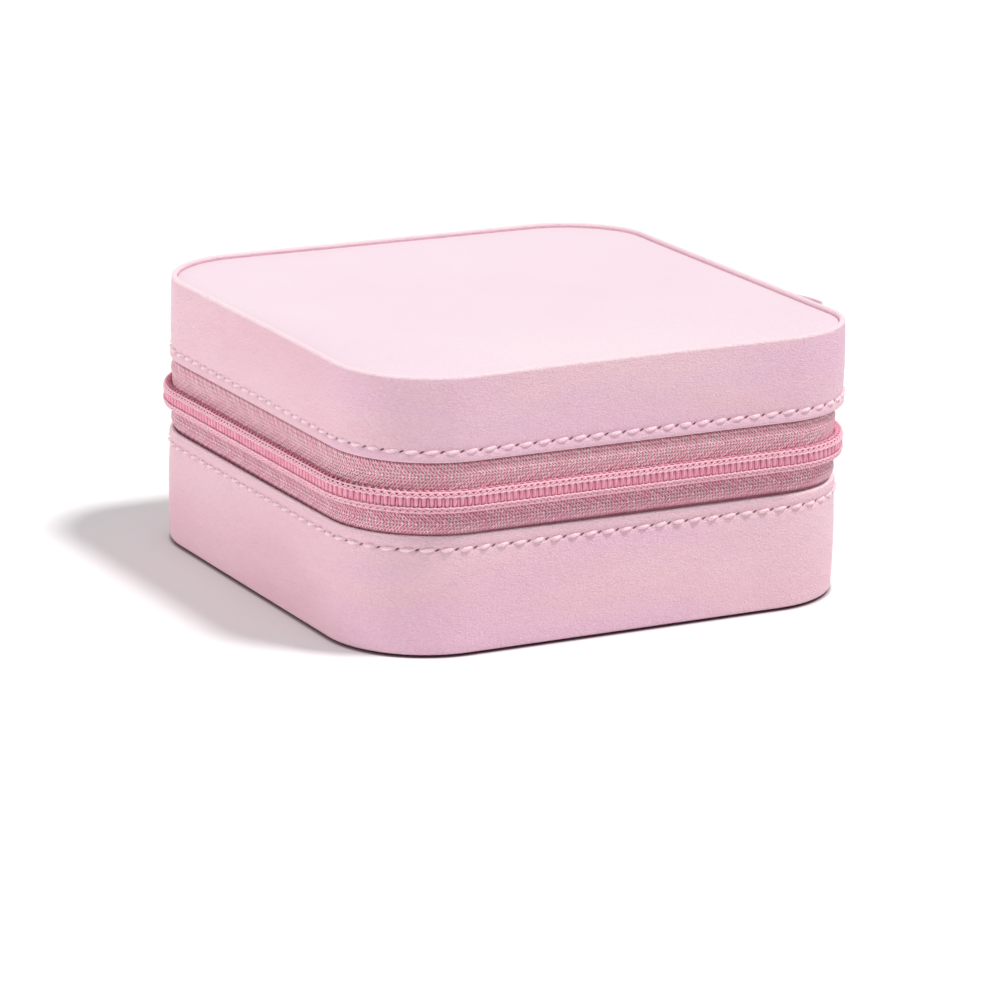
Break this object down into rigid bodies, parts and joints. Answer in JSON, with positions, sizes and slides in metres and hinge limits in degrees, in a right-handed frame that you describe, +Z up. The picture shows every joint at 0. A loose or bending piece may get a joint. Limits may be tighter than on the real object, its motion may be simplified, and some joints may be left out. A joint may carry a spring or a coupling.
{
  "type": "zipped travel jewellery case",
  "caption": "Square padded leather jewellery case with a zip round three sides, a leather hinge spine, ring rolls, lift-out dividers, a lid pocket and snap straps.",
  "frame": {"origin": "centre of the flat underside", "axes": "+Z up, +Y towards the hinge spine, -X towards the side where the zip slider is parked"},
  "size_m": [0.1056, 0.1026, 0.051],
  "materials": {
    "leather_side": "fine-grained pink leather",
    "leather_top": "smooth pale pink leather",
    "velvet": "short pale pink velvet",
    "zip_tape": "woven herringbone tape",
    "zip_coil": "glossy nylon coil",
    "metal": "polished rose gold plate",
    "board": "plain greyboard",
    "foam": "soft white foam",
    "pocket_cloth": "satin pocket cloth",
    "backing": "woven backing tape"
  },
  "bodies": {
    "base": {"base_bottom": "leather_side", "base_band": "leather_side", "base_padding": "foam", "base_board": "board", "base_lining": "velvet", "base_tape": "zip_tape", "base_coil": "zip_coil", "base_stop": "metal", "partition": "velvet", "ring_bed": "velvet", "ring_roll_1": "velvet", "ring_roll_2": "velvet", "ring_roll_3": "velvet", "ring_roll_4": "velvet", "ring_roll_5": "velvet", "ring_roll_6": "velvet", "hinge_spine": "leather_side", "spine_backing": "backing"},
    "lid": {"lid_band": "leather_side", "lid_panel": "leather_top", "lid_foam": "foam", "lid_padding": "foam", "lid_board": "board", "lid_lining": "velvet", "lid_tape": "zip_tape", "lid_coil": "zip_coil", "lid_stop": "metal", "lid_pocket": "pocket_cloth", "pocket_hem": "pocket_cloth", "strap_roots": "leather_top", "snap_studs": "metal"},
    "slider": {"slider_body": "metal"},
    "pull": {"pull_tab": "metal"},
    "front_divider": {"divider_front": "velvet"},
    "back_divider": {"divider_back": "velvet"},
    "left_strap": {"strap_left": "leather_top", "snap_cap_left": "metal"},
    "middle_strap": {"strap_middle": "leather_top", "snap_cap_middle": "metal"},
    "right_strap": {"strap_right": "leather_top", "snap_cap_right": "metal"}
  },
  "joints": [
    {"name": "lid_hinge", "type": "hinge", "parent": "base", "child": "lid", "pos_m": [0, 0.05135, 0.0285], "axis": [-1, 0, 0], "range_deg": [0, 180], "deforming": ["hinge_spine", "spine_backing"]},
    {"name": "slider_run", "type": "slide", "parent": "base", "child": "slider", "axis": [0, -1, 0], "range_m": [0, 0.052], "deforming": ["base_coil", "lid_coil", "base_tape", "lid_tape"]},
    {"name": "pull_swing", "type": "hinge", "parent": "slider", "child": "pull", "pos_m": [-0.053, 0.025, 0.0285], "axis": [0, 0, -1], "range_deg": [0, 150]},
    {"name": "front_divider_lift", "type": "slide", "parent": "base", "child": "front_divider", "axis": [0, 0, 1], "range_m": [0, 0.016]},
    {"name": "back_divider_lift", "type": "slide", "parent": "base", "child": "back_divider", "axis": [0, 0, 1], "range_m": [0, 0.016]},
    {"name": "left_strap_fold", "type": "hinge", "parent": "lid", "child": "left_strap", "pos_m": [-0.024, -0.038, 0.0447], "axis": [-1, 0, 0], "range_deg": [0, 70]},
    {"name": "middle_strap_fold", "type": "hinge", "parent": "lid", "child": "middle_strap", "pos_m": [0, -0.038, 0.0447], "axis": [-1, 0, 0], "range_deg": [0, 70]},
    {"name": "right_strap_fold", "type": "hinge", "parent": "lid", "child": "right_strap", "pos_m": [0.024, -0.038, 0.0447], "axis": [-1, 0, 0], "range_deg": [0, 70]}
  ]
}
